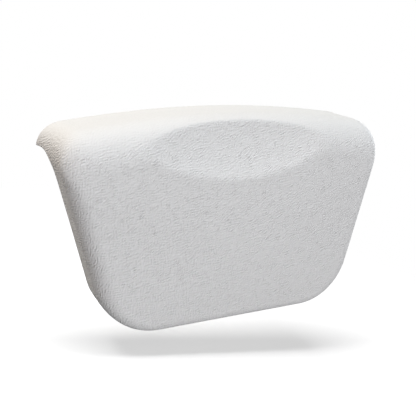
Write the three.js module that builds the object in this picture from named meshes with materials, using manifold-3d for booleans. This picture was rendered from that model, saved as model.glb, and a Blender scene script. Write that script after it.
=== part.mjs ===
// Moulded bath pillow: a grained skin over a foam core, hooked over the edge of a bath by its lip
// and held to the bath wall by two suction cups. Millimetres, +Z up. The origin is the edge of the
// bath: z = 0 is the top of its rim, y = 0 its inner wall, and the bather lies on the -Y side.
import * as THREE from 'three';
import { mergeVertices } from 'three/addons/utils/BufferGeometryUtils.js';
import Module from 'manifold-3d';

const wasm = await Module();
wasm.setup();

// Cushion
const topWidth = 297.5;
const bottomWidth = 219;
const hangBelowRim = 146.1;
const cornerAboveRim = 14.9;
const topArch = 10.6;
const padThickness = 37;
const lipReach = 32.25;
const lipFlare = 8.3;
const flareStart = 25;
const flareFoot = 41.1;
const seatRun = 26.25;
const seatDrop = 19.3;
const noseRadius = 31;
const sideRoundDepth = 16;
const sideRoundWidth = 14;
const bottomRound = 9;
const topCornerRadius = 20;
const lipCornerRadius = 24.2;
const bottomCornerRadius = 52;
const faceCrown = 2.5;
const skinThickness = 1.5;

// Head dish, an ellipsoid cut across the top front edge
const dishLength = 172;
const dishReach = 15.5;
const dishDrop = 47;
const dishRadius = 180;

// Suction cups
const cupSpacing = 116;
const cupDrop = 60;
const cupRadius = 25;
const cupDepth = 10;
const cupEdge = 1.2;
const cupRimLand = 2.4;
const cupHollow = 4;
const domeFullness = 0.72;
const hollowFullness = 0.45;
const collarRadius = 7.5;
const collarHeight = 1.5;
const neckRadius = 3.2;
const headRadius = 6.2;
const headHeight = 4.5;
const headTaper = 0.6;
const tabWidth = 9;
const tabReach = 7;
const tabThickness = 1.2;
const tabStandOff = 0.4;

// Sockets that hold the cups
const slotTravel = 11;
const floorThickness = 2.4;
const flangeRadius = 28;
const flangeChamfer = 0.8;
const barrelRadius = 18;
const barrelWall = 2;
const chamberDepth = 10;
const screwCircle = 23.2;
const screwCount = 3;

// Screws and the plate they bite into
const screwRadius = 1.4;
const screwHeadRadius = 3;
const screwHeadHeight = 1.6;
const screwLength = 10;
const screwPoint = 2;
const screwSink = 0.2;
const postRadius = 3.2;
const plateThickness = 3;
const plateMargin = 6;
const plateCornerRadius = 10;
const keyHoleRadius = 6;
const keyHolePitch = 20;
const keyHoleRows = 3;
const keyHoleColumns = 3;

// Clearances
const gap = 0.3;
const slotClearance = 0.3;
const entryClearance = 0.6;

// Facets
const fineSkin = { top: 6, corner: 4, side: 2, base: 6, bottom: 2, nose: 6, lip: 4, face: 2 };
const plainCore = { top: 4, corner: 3, side: 2, base: 5, bottom: 1, nose: 5, lip: 2, face: 1 };
const roundSides = 32;
const smallSides = 14;
const holeSides = 12;
const arcSteps = 8;
const cupSteps = 5;
const dishSides = 70;
const weld = 1e-4;

// Places along Y, from the bath wall towards the bather
const floorOuter = -cupDepth - collarHeight - gap;
const floorInner = floorOuter - floorThickness;
const padBack = floorInner - gap;
const padFront = padBack - padThickness;
const cushionDepth = padThickness + lipReach;
const lipEnd = padBack + lipReach;
const barrelEnd = floorInner - chamberDepth;
const plateBack = barrelEnd - gap;
const plateFront = plateBack - plateThickness;
const coreInset = skinThickness + gap;
const coreBack = padBack - coreInset;

// Places along X and Z
const bottomZ = -hangBelowRim;
const topZ = padOutline(noseRadius, 0, fineSkin)[0].y;
const cupZ = -cupDrop;
const socketZ = cupZ - slotTravel / 2;
const sides = [{ name: 'left', x: -cupSpacing / 2 }, { name: 'right', x: cupSpacing / 2 }];

// Turns every face outwards
function faceOut(geometry) {
  const position = geometry.attributes.position;
  const index = geometry.index.array;
  const a = new THREE.Vector3();
  const b = new THREE.Vector3();
  const c = new THREE.Vector3();
  let volume = 0;
  for (let i = 0; i < index.length; i += 3) {
    a.fromBufferAttribute(position, index[i]);
    b.fromBufferAttribute(position, index[i + 1]);
    c.fromBufferAttribute(position, index[i + 2]);
    volume += a.dot(b.cross(c));
  }
  if (volume < 0) {
    for (let i = 0; i < index.length; i += 3) {
      [index[i], index[i + 1]] = [index[i + 1], index[i]];
    }
  }
  return geometry;
}

// A three.js geometry as a solid that can be cut and joined
function solidOf(geometry) {
  const bare = geometry.clone();
  bare.deleteAttribute('normal');
  bare.deleteAttribute('uv');
  const welded = faceOut(mergeVertices(bare, weld));
  return new wasm.Manifold(new wasm.Mesh({
    numProp: 3,
    vertProperties: new Float32Array(welded.attributes.position.array),
    triVerts: new Uint32Array(welded.index.array),
  }));
}

// A cut or joined solid as a three.js geometry
function geometryOf(solid) {
  const mesh = solid.getMesh();
  const geometry = new THREE.BufferGeometry();
  geometry.setAttribute('position', new THREE.BufferAttribute(mesh.vertProperties, 3));
  geometry.setIndex(new THREE.BufferAttribute(mesh.triVerts, 1));
  geometry.computeVertexNormals();
  return geometry;
}

// A solid of revolution about the Y direction through (x, z), from [radius, y] pairs
function turned(profile, x, z, segments) {
  const points = profile.map(([radius, y]) => new THREE.Vector2(radius, y));
  const geometry = new THREE.LatheGeometry(points, segments);
  return solidOf(geometry.translate(x, 0, z));
}

// A plain round bar along Y
function bar(radius, low, high, x, z, segments) {
  return turned([[0, low], [radius, low], [radius, high], [0, high]], x, z, segments);
}

// A flat piece drawn in X and Z, from y = low to y = high
function slab(shape, low, high, x, z) {
  const geometry = new THREE.ExtrudeGeometry(shape, {
    depth: high - low,
    bevelEnabled: false,
    curveSegments: arcSteps,
  });
  geometry.rotateX(Math.PI / 2);
  return solidOf(geometry.translate(x, high, z));
}

// The round that joins the line arriving along `arrive` at a corner to the line leaving along `leave`
function cornerArc(corner, arrive, leave, radius, steps) {
  const half = Math.acos(-arrive.dot(leave)) / 2;
  const bisector = leave.clone().sub(arrive).normalize();
  const centre = corner.clone().addScaledVector(bisector, radius / Math.sin(half));
  const start = corner.clone().addScaledVector(arrive, -radius / Math.tan(half)).sub(centre).angle();
  const sweep = Math.PI - 2 * half;
  const points = [];
  for (let i = 0; i <= steps; i += 1) {
    const angle = start - (sweep * i) / steps;
    points.push(new THREE.Vector2(Math.cos(angle), Math.sin(angle)).multiplyScalar(radius).add(centre));
  }
  return points;
}

// How far a rounded edge has still to come out, at a distance behind the front face
function edgeLoss(behind, depth, width) {
  if (behind >= depth) {
    return 0;
  }
  return width * (1 - Math.sqrt(1 - (1 - behind / depth) ** 2));
}

// Spreads the ends of the lip sideways, most at its far edge and at its top
function flareOut(points, behind) {
  const share = Math.max(behind - flareStart, 0) / (cushionDepth - flareStart);
  const widest = Math.max(...points.map((point) => point.x));
  for (const point of points) {
    const lift = Math.max(point.y + flareFoot, 0) / (cornerAboveRim + flareFoot);
    point.x += lipFlare * share ** 2 * lift * (point.x / widest) ** 3;
  }
}

// The cushion's outline in X and Z at a distance behind its front face, drawn in by `inset`
function padOutline(behind, inset, detail) {
  const taper = (topWidth - bottomWidth) / 2 / (cornerAboveRim - bottomZ);
  const slant = Math.hypot(1, taper);
  const past = behind - inset;
  const sideLoss = inset + edgeLoss(past, sideRoundDepth - inset, sideRoundWidth - inset);
  const topLoss = inset + edgeLoss(past, noseRadius - inset, noseRadius - inset);
  const bottomLoss = inset + edgeLoss(past, bottomRound - inset, bottomRound - inset);
  const halfWidth = (z) => topWidth / 2 + taper * (z - cornerAboveRim) - sideLoss * slant;
  const high = cornerAboveRim - topLoss;
  const low = bottomZ + bottomLoss;
  const topCorner = new THREE.Vector2(halfWidth(high), high);
  const lowCorner = new THREE.Vector2(halfWidth(low), low);
  const along = new THREE.Vector2(1, (-2 * topArch) / topCorner.x).normalize();
  const down = lowCorner.clone().sub(topCorner).normalize();
  const inwards = new THREE.Vector2(-1, 0);
  const growth = ((lipCornerRadius - topCornerRadius) * behind) / cushionDepth;
  const shoulder = cornerArc(topCorner, along, down, topCornerRadius + growth - inset, detail.corner);
  const foot = cornerArc(lowCorner, down, inwards, bottomCornerRadius - sideLoss, detail.base);
  const half = [];
  const archTop = shoulder[0].y + (topArch * shoulder[0].x) / topCorner.x;
  for (let i = 0; i < detail.top; i += 1) {
    const share = i / detail.top;
    const z = archTop + (shoulder[0].y - archTop) * share ** 2;
    half.push(new THREE.Vector2(shoulder[0].x * share, z));
  }
  half.push(...shoulder);
  for (let i = 1; i < detail.side; i += 1) {
    half.push(shoulder.at(-1).clone().lerp(foot[0], i / detail.side));
  }
  half.push(...foot);
  for (let i = 1; i <= detail.bottom; i += 1) {
    half.push(new THREE.Vector2(foot.at(-1).x * (1 - i / detail.bottom), low));
  }
  flareOut(half, behind);
  const mirrored = half.slice(1, -1).reverse().map((point) => new THREE.Vector2(-point.x, point.y));
  return [...half, ...mirrored];
}

// Distances behind the front face at which the cushion's outline is drawn
function outlineDepths(inset, detail) {
  const depths = [];
  for (let i = 0; i <= detail.nose; i += 1) {
    const turn = ((Math.PI / 2) * i) / detail.nose;
    depths.push(inset + (noseRadius - inset) * (1 - Math.cos(turn)));
  }
  const lipStart = Math.max(padThickness, noseRadius);
  for (let i = 1; i <= detail.lip; i += 1) {
    depths.push(lipStart + ((cushionDepth - inset - lipStart) * i) / detail.lip);
  }
  return depths;
}

// A closed skin through equal rings of points, its ends closed to the given points
function loft(rings, firstEnd, lastEnd) {
  const count = rings[0].length;
  const points = [...rings.flat(), firstEnd, lastEnd];
  const first = points.length - 2;
  const last = points.length - 1;
  const lastRing = (rings.length - 1) * count;
  const faces = [];
  for (let j = 0; j < count; j += 1) {
    const next = (j + 1) % count;
    faces.push(first, next, j, last, lastRing + j, lastRing + next);
    for (let i = 0; i < lastRing; i += count) {
      faces.push(i + j, i + next, i + count + next, i + j, i + count + next, i + count + j);
    }
  }
  const geometry = new THREE.BufferGeometry().setFromPoints(points);
  geometry.setIndex(faces);
  return geometry;
}

// The uncut cushion: outlines from the domed front face to the end of the lip
function padBlank(inset, detail) {
  const at = (outline, y) => outline.map((point) => new THREE.Vector3(point.x, y, point.y));
  const front = padOutline(inset, inset, detail);
  const middle = new THREE.Vector2(0, (front[0].y + bottomZ) / 2);
  const rings = [];
  for (let i = 1; i <= detail.face; i += 1) {
    const share = i / (detail.face + 1);
    const drawnIn = front.map((point) => middle.clone().lerp(point, share));
    rings.push(at(drawnIn, padFront + inset - faceCrown * (1 - share ** 2)));
  }
  for (const behind of outlineDepths(inset, detail)) {
    rings.push(at(padOutline(behind, inset, detail), padFront + behind));
  }
  const nearEnd = new THREE.Vector3(0, padFront + inset - faceCrown, middle.y);
  const farEnd = new THREE.Vector3(0, lipEnd - inset, rings.at(-1)[0].z - topArch);
  return solidOf(loft(rings, nearEnd, farEnd));
}

// The space that the bath takes up: its wall, its rim and the curved edge between them
function bathSpace(inset) {
  const reach = topWidth + hangBelowRim;
  const run = seatRun + inset;
  const drop = seatDrop + inset;
  const profile = new THREE.Shape();
  profile.moveTo(padBack - inset, -reach);
  profile.lineTo(padBack - inset, -seatDrop);
  profile.absellipse(padBack + seatRun, -seatDrop, run, drop, Math.PI, Math.PI / 2, true);
  profile.lineTo(reach, inset);
  profile.lineTo(reach, -reach);
  const geometry = new THREE.ExtrudeGeometry(profile, {
    depth: 2 * reach,
    bevelEnabled: false,
    curveSegments: arcSteps,
  });
  const axes = new THREE.Matrix4().makeBasis(
    new THREE.Vector3(0, 1, 0),
    new THREE.Vector3(0, 0, 1),
    new THREE.Vector3(1, 0, 0),
  );
  return solidOf(geometry.applyMatrix4(axes).translate(-reach, 0, 0));
}

// The head dish: its round section passes through a point on the nose and one on the front face
function dishCutter(inset) {
  const noseCentre = new THREE.Vector2(padFront + noseRadius, topZ - noseRadius);
  const rise = Math.sqrt(noseRadius ** 2 - (noseRadius - dishReach) ** 2);
  const upper = new THREE.Vector2(padFront + dishReach, noseCentre.y + rise);
  const lower = new THREE.Vector2(padFront, topZ - dishDrop);
  const chord = upper.clone().sub(lower);
  const outwards = new THREE.Vector2(-chord.y, chord.x).normalize();
  const away = Math.sqrt(dishRadius ** 2 - chord.lengthSq() / 4);
  const centre = upper.clone().add(lower).multiplyScalar(0.5).addScaledVector(outwards, away);
  const depth = noseRadius + dishRadius - centre.distanceTo(noseCentre);
  const halfLength = dishLength / 2 / Math.sqrt(1 - (1 - depth / dishRadius) ** 2);
  const geometry = new THREE.SphereGeometry(1, dishSides, dishSides / 2);
  geometry.rotateZ(Math.PI / 2);
  geometry.scale(halfLength + inset, dishRadius + inset, dishRadius + inset);
  return solidOf(geometry.translate(0, centre.x, centre.y));
}

// The cushion drawn in by `inset`, with the bath's space and the head dish cut away
function cushion(inset, detail) {
  return padBlank(inset, detail).subtract(bathSpace(inset)).subtract(dishCutter(inset));
}

// Places of the screws round one socket
function screwPlaces(side) {
  const places = [];
  for (let i = 0; i < screwCount; i += 1) {
    const angle = Math.PI / 2 + (2 * Math.PI * i) / screwCount;
    places.push({ x: side.x + screwCircle * Math.cos(angle), z: socketZ + screwCircle * Math.sin(angle) });
  }
  return places;
}

// Skin: the moulding's grained outer layer, open where the sockets go in
function makeSkin() {
  let skin = cushion(0, fineSkin).subtract(cushion(skinThickness, plainCore));
  const low = coreBack - gap;
  const high = padBack + gap;
  for (const side of sides) {
    skin = skin.subtract(bar(barrelRadius + gap, low, high, side.x, socketZ, roundSides));
    for (const place of screwPlaces(side)) {
      skin = skin.subtract(bar(screwRadius + gap, low, high, place.x, place.z, holeSides));
    }
  }
  return skin;
}

// Core: soft foam, moulded round the plate, its posts and the socket barrels
function makeCore() {
  let core = cushion(coreInset, plainCore);
  core = core.subtract(slab(plateShape(gap), plateFront - gap, plateBack + gap, 0, socketZ));
  for (const side of sides) {
    core = core.subtract(bar(barrelRadius + gap, plateBack, padBack, side.x, socketZ, roundSides));
    for (const place of screwPlaces(side)) {
      core = core.subtract(bar(postRadius + gap, plateBack, padBack, place.x, place.z, holeSides));
    }
  }
  return core;
}

// Plate outline, grown by `grow`, with the holes that the foam flows through
function plateShape(grow) {
  const halfWidth = cupSpacing / 2 + flangeRadius + plateMargin + grow;
  const halfHeight = flangeRadius + plateMargin + grow;
  const radius = plateCornerRadius + grow;
  const shape = new THREE.Shape();
  shape.absarc(halfWidth - radius, halfHeight - radius, radius, 0, Math.PI / 2);
  shape.absarc(radius - halfWidth, halfHeight - radius, radius, Math.PI / 2, Math.PI);
  shape.absarc(radius - halfWidth, radius - halfHeight, radius, Math.PI, 1.5 * Math.PI);
  shape.absarc(halfWidth - radius, radius - halfHeight, radius, 1.5 * Math.PI, 2 * Math.PI);
  for (let column = 0; column < keyHoleColumns; column += 1) {
    for (let row = 0; row < keyHoleRows; row += 1) {
      const hole = new THREE.Path();
      const x = keyHolePitch * (column - (keyHoleColumns - 1) / 2);
      const z = keyHolePitch * (row - (keyHoleRows - 1) / 2);
      hole.absarc(x, z, keyHoleRadius - grow, 0, 2 * Math.PI, true);
      shape.holes.push(hole);
    }
  }
  return shape;
}

// Plate: carries the sockets inside the foam, with a drilled post for each screw
function makePlate() {
  let plate = slab(plateShape(0), plateFront, plateBack, 0, socketZ);
  const drillEnd = floorOuter - screwSink - screwLength - gap;
  for (const side of sides) {
    for (const place of screwPlaces(side)) {
      plate = plate.add(bar(postRadius, plateFront, coreBack, place.x, place.z, holeSides));
      plate = plate.subtract(bar(screwRadius + gap, drillEnd, padBack, place.x, place.z, holeSides));
    }
  }
  return plate;
}

// Keyhole: a slot for the cup's neck, with a round entry below it for the cup's head
function keyhole() {
  const slot = neckRadius + slotClearance;
  const entry = headRadius + entryClearance;
  const top = slotTravel / 2;
  const meet = Math.asin(slot / entry);
  const shape = new THREE.Shape();
  shape.absarc(0, top, slot, 0, Math.PI);
  shape.absarc(0, -top, entry, Math.PI / 2 + meet, 2.5 * Math.PI - meet);
  return shape;
}

// Socket: a flanged well with a keyhole in its floor
function makeSocket(side) {
  const inner = barrelRadius - barrelWall;
  let socket = turned([
    [0, floorInner],
    [inner, floorInner],
    [inner, barrelEnd],
    [barrelRadius, barrelEnd],
    [barrelRadius, floorInner],
    [flangeRadius, floorInner],
    [flangeRadius, floorOuter - flangeChamfer],
    [flangeRadius - flangeChamfer, floorOuter],
    [0, floorOuter],
  ], side.x, socketZ, roundSides);
  socket = socket.subtract(slab(keyhole(), floorInner - gap, floorOuter + gap, side.x, socketZ));
  const sinkTop = screwHeadRadius + gap + screwSink;
  const sinkEnd = floorOuter - screwSink - screwHeadHeight;
  for (const place of screwPlaces(side)) {
    socket = socket.subtract(turned([
      [0, floorInner - gap],
      [screwRadius + gap, floorInner - gap],
      [screwRadius + gap, sinkEnd],
      [sinkTop, floorOuter],
      [sinkTop, floorOuter + gap],
      [0, floorOuter + gap],
    ], place.x, place.z, holeSides));
  }
  return socket;
}

// Suction cup: rim on the bath wall, dome, collar, neck through the slot and a head behind it
function makeCup(side) {
  const headBack = floorInner - gap;
  const headFront = headBack - headHeight;
  const collarEnd = floorOuter + gap;
  const domeStart = collarEnd + collarHeight;
  const domeEnd = -cupEdge;
  const dome = new THREE.QuadraticBezierCurve(
    new THREE.Vector2(collarRadius, domeStart),
    new THREE.Vector2(cupRadius * domeFullness, domeStart / 2),
    new THREE.Vector2(cupRadius, domeEnd),
  ).getPoints(cupSteps).map((point) => [point.x, point.y]);
  const hollow = new THREE.QuadraticBezierCurve(
    new THREE.Vector2(cupRadius - cupRimLand, 0),
    new THREE.Vector2(cupRadius * hollowFullness, -cupHollow),
    new THREE.Vector2(0, -cupHollow),
  ).getPoints(cupSteps).map((point) => [point.x, point.y]);
  const revolved = turned([
    [0, headFront],
    [headRadius * headTaper, headFront],
    [headRadius, headFront + headHeight * headTaper],
    [headRadius, headBack],
    [neckRadius, headBack],
    [neckRadius, collarEnd],
    [collarRadius, collarEnd],
    ...dome,
    [cupRadius, 0],
    ...hollow,
  ], side.x, cupZ, roundSides);
  const tab = new THREE.Shape();
  const tabEnd = cupRadius + tabReach - tabWidth / 2;
  tab.moveTo(tabWidth / 2, -cupRadius + cupRimLand);
  tab.lineTo(-tabWidth / 2, -cupRadius + cupRimLand);
  tab.absarc(0, -tabEnd, tabWidth / 2, Math.PI, 2 * Math.PI);
  const tabSolid = slab(tab, -tabStandOff - tabThickness, -tabStandOff, side.x, cupZ);
  const under = bar(cupRadius, -tabStandOff, cupHollow, side.x, cupZ, roundSides);
  return revolved.add(tabSolid.subtract(under));
}

// Screw: countersunk head, plain shank and a point
function makeScrew(place) {
  const top = floorOuter - screwSink;
  const tip = top - screwLength;
  return turned([
    [0, tip],
    [screwRadius, tip + screwPoint],
    [screwRadius, top - screwHeadHeight],
    [screwHeadRadius, top],
    [0, top],
  ], place.x, place.z, smallSides);
}

const finish = {
  skin: new THREE.MeshStandardMaterial({ color: 0xeeedeb, roughness: 0.62, metalness: 0 }),
  foam: new THREE.MeshStandardMaterial({ color: 0xf2ead6, roughness: 0.95, metalness: 0 }),
  plate: new THREE.MeshStandardMaterial({ color: 0xa4a9ab, roughness: 0.6, metalness: 0 }),
  socket: new THREE.MeshStandardMaterial({ color: 0xe6e6e3, roughness: 0.45, metalness: 0 }),
  cup: new THREE.MeshStandardMaterial({ color: 0xdde8ea, roughness: 0.2, metalness: 0 }),
  screw: new THREE.MeshStandardMaterial({ color: 0xc0c3c6, roughness: 0.35, metalness: 1 }),
};

const pillow = new THREE.Group();

function addPart(name, solid, material) {
  const mesh = new THREE.Mesh(geometryOf(solid), material);
  mesh.name = name;
  pillow.add(mesh);
}

addPart('cushion_skin', makeSkin(), finish.skin);
addPart('foam_core', makeCore(), finish.foam);
addPart('carrier_plate', makePlate(), finish.plate);
for (const side of sides) {
  addPart(`cup_socket_${side.name}`, makeSocket(side), finish.socket);
  addPart(`suction_cup_${side.name}`, makeCup(side), finish.cup);
  screwPlaces(side).forEach((place, i) => {
    addPart(`socket_screw_${side.name}_${i + 1}`, makeScrew(place), finish.screw);
  });
}

export default pillow;
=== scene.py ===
"""Looks of a moulded bath pillow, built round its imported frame. Metres, +Z up.

The origin is the edge of the bath: z = 0 is the top of its rim, y = 0 is its wall,
and the bather lies on the -Y side.
"""

from __future__ import annotations

import logging
import math
from collections.abc import Callable, Iterator, Sequence
from contextlib import contextmanager
from dataclasses import dataclass, field, replace
from enum import Enum

import bmesh
import bpy
import numpy as np
from mathutils import Matrix, Vector


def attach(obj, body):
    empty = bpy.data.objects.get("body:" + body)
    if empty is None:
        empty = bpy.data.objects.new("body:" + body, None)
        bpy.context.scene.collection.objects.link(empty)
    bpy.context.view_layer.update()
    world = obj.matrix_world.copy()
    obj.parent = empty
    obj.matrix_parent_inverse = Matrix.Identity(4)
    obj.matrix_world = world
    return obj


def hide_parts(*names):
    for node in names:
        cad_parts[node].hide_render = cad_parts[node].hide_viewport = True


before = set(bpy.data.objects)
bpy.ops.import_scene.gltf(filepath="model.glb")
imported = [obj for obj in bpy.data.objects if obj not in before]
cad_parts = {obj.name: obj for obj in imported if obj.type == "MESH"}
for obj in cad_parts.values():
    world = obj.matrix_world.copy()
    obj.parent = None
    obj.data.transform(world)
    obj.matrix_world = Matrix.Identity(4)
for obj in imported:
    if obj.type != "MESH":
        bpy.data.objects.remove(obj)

log = logging.getLogger("bath_pillow")
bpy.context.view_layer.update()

MM = 0.001
SAME_POINT = 1e-6
FACING = 0.9
FULL_TURN = 2 * math.pi
ALONG_Y = (math.pi / 2, 0.0, 0.0)
WHITE = (1.0, 1.0, 1.0, 1.0)
Piece = bpy.types.Object
Socket = bpy.types.NodeSocket
Colour = tuple[float, float, float]
Place = tuple[float, float, float]
Inputs = dict[str | int, object]


class Body(Enum):
    """The bodies that pieces ride on."""

    PILLOW = "pillow"
    CUP_LEFT = "cup_left"
    CUP_RIGHT = "cup_right"


class Slot(Enum):
    """The record's material slots."""

    SKIN = "skin"
    FOAM = "foam"
    PLATE = "plate"
    SOCKET = "socket"
    CUP = "cup"
    SCREW = "screw"


@dataclass(frozen=True)
class Side:
    """A cup's place: the word that ends its pieces' names, its sign along X and its body."""

    label: str
    sign: int
    cup_body: Body


SIDES = (Side("left", -1, Body.CUP_LEFT), Side("right", 1, Body.CUP_RIGHT))


# Modelling by hand


def pick(piece: Piece | None) -> None:
    """Make one object the only selected and active one.

    Args:
        piece: The object, or None to leave nothing selected.
    """
    bpy.ops.object.select_all(action="DESELECT")
    bpy.context.view_layer.objects.active = piece
    if piece is not None:
        piece.select_set(True)


@contextmanager
def editing(piece: Piece) -> Iterator[None]:
    """Edit mode on one piece, with nothing selected at first.

    Args:
        piece: The mesh object to edit.
    """
    pick(piece)
    bpy.ops.object.mode_set(mode="EDIT")
    bpy.ops.mesh.select_mode(type="VERT")
    bpy.ops.mesh.select_all(action="DESELECT")
    yield
    bpy.ops.object.mode_set(mode="OBJECT")


def select(piece: Piece, kind: str, wanted: Callable[..., bool]) -> None:
    """Select faces or edges of a piece in edit mode, and no others.

    Args:
        piece: The piece that is being edited.
        kind: FACE or EDGE.
        wanted: Says whether a face or an edge is taken.
    """
    bpy.ops.mesh.select_mode(type=kind)
    bpy.ops.mesh.select_all(action="DESELECT")
    mesh = bmesh.from_edit_mesh(piece.data)
    for part in mesh.faces if kind == "FACE" else mesh.edges:
        part.select_set(wanted(part))
    bmesh.update_edit_mesh(piece.data)


def select_end(piece: Piece, sign: int) -> None:
    """Select the faces in edit mode that look along Y, or against it where the sign is -1."""
    select(piece, "FACE", lambda face: sign * face.normal.y > FACING)


def push(distance: float) -> None:
    """Extrude what is selected along Y."""
    bpy.ops.mesh.extrude_region_move(TRANSFORM_OT_translate={"value": (0.0, distance, 0.0)})


def named(name: str) -> Piece:
    """Name the object that an operator has just made, and put its place into its mesh.

    Args:
        name: The name for the object and its mesh.

    Returns:
        The object.
    """
    piece = bpy.context.object
    piece.name = name
    piece.data.name = name
    bpy.ops.object.transform_apply(location=True, rotation=True, scale=True)
    return piece


def round_bar(
    name: str, radius: float, low: float, high: float, x: float, z: float, sides: int
) -> Piece:
    """Add a round bar along Y.

    Args:
        name: The object's name.
        radius: The bar's radius.
        low: Where it starts along Y.
        high: Where it ends along Y.
        x: Its axis in X.
        z: Its axis in Z.
        sides: Facets round it.

    Returns:
        The bar, with its place in its mesh.
    """
    pick(None)
    bpy.ops.mesh.primitive_cylinder_add(
        vertices=sides,
        radius=radius,
        depth=high - low,
        location=(x, (low + high) / 2, z),
        rotation=ALONG_Y,
    )
    return named(name)


def block(name: str, size: Place, middle: Place, turn: float = 0.0) -> Piece:
    """Add a block.

    Args:
        name: The object's name.
        size: Its lengths along X, Y and Z.
        middle: Where its middle is.
        turn: How far it is turned about Y.

    Returns:
        The block, with its place in its mesh.
    """
    pick(None)
    bpy.ops.mesh.primitive_cube_add(size=1.0, location=middle, rotation=(0.0, turn, 0.0), scale=size)
    return named(name)


def modify(piece: Piece, kind: str, **settings: object) -> None:
    """Add a modifier to a piece, set it and apply it.

    Args:
        piece: The mesh object.
        kind: The modifier's type.
        settings: Values for the modifier's own properties.
    """
    pick(piece)
    modifier = piece.modifiers.new(kind.lower(), kind)
    for name, value in settings.items():
        setattr(modifier, name, value)
    bpy.ops.object.modifier_apply(modifier=modifier.name)


def combine(piece: Piece, other: Piece, operation: str) -> None:
    """Cut, join or intersect a piece with another, which is used up.

    Args:
        piece: The piece that is kept.
        other: The piece that is taken away afterwards.
        operation: DIFFERENCE, UNION or INTERSECT.
    """
    modify(piece, "BOOLEAN", operation=operation, object=other, solver="MANIFOLD")
    bpy.data.meshes.remove(other.data)


def cut(piece: Piece, cutter: Piece) -> None:
    """Take the cutter's space out of a piece, and remove the cutter."""
    combine(piece, cutter, "DIFFERENCE")


def close_up(piece: Piece, reach: float) -> None:
    """Merge points that lie together and turn every face outwards.

    Args:
        piece: The mesh object.
        reach: How near two points have to be to become one.
    """
    with editing(piece):
        bpy.ops.mesh.select_all(action="SELECT")
        bpy.ops.mesh.remove_doubles(threshold=reach)
        bpy.ops.mesh.normals_make_consistent(inside=False)


def smooth_shading(piece: Piece, crease_degrees: float = 40.0) -> None:
    """Shade a piece smooth, apart from edges sharper than an angle."""
    pick(piece)
    bpy.ops.object.shade_smooth_by_angle(angle=math.radians(crease_degrees))


# The cushion's form


@dataclass(frozen=True)
class FormDetail:
    """How many steps the stretches of the cushion's form are drawn in."""

    top: int
    shoulder: int
    side: int
    foot: int
    bottom: int
    face: int
    nose: int
    pad: int
    seat: int
    lip: int


FINE_DETAIL = FormDetail(
    top=80, shoulder=26, side=40, foot=36, bottom=36, face=44, nose=36, pad=4, seat=20, lip=5
)
PLAIN_DETAIL = FormDetail(
    top=20, shoulder=8, side=10, foot=12, bottom=8, face=8, nose=12, pad=1, seat=8, lip=2
)


def even_points(line: Sequence[Vector], steps: int) -> list[Vector]:
    """Points at even distances along a line of points, without its first one.

    Args:
        line: The points that the line runs through.
        steps: How many points are wanted.

    Returns:
        The points, the last of which is the line's end.
    """
    places = np.array(line)
    lengths = np.linalg.norm(np.diff(places, axis=0), axis=1)
    so_far = np.concatenate([[0.0], np.cumsum(lengths)])
    wanted = np.linspace(0.0, so_far[-1], steps + 1)[1:]
    across, up = (np.interp(wanted, so_far, places[:, axis]) for axis in (0, 1))
    return [Vector(place) for place in zip(across, up)]


class SewnSheets:
    """Grids of points and flat ends that are sewn into one closed mesh along their shared edges."""

    def __init__(self) -> None:
        """Start with no sheet."""
        self.points: list[list[float]] = []
        self.faces: list[tuple[int, ...]] = []

    def grid(self, rows: Sequence[np.ndarray]) -> None:
        """Add a sheet through rows of equally many points.

        Args:
            rows: X, Y and Z of each point, row by row.
        """
        start, count = len(self.points), len(rows[0])
        for row in rows:
            self.points += row.tolist()
        for i in range(len(rows) - 1):
            for j in range(start + i * count, start + (i + 1) * count - 1):
                self.faces.append((j, j + 1, j + count + 1, j + count))

    def flat(self, edge: np.ndarray) -> None:
        """Add one flat face along an edge."""
        start = len(self.points)
        self.points += edge.tolist()
        self.faces.append(tuple(range(start, len(self.points))))

    def sew(self, name: str) -> Piece:
        """Join the sheets into one object whose faces point outwards.

        Args:
            name: The object's name.

        Returns:
            The closed mesh object, in the scene.
        """
        mesh = bpy.data.meshes.new(name)
        mesh.from_pydata(self.points, [], self.faces)
        mesh.update()
        piece = bpy.data.objects.new(name, mesh)
        bpy.context.scene.collection.objects.link(piece)
        close_up(piece, SAME_POINT)
        return piece


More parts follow.
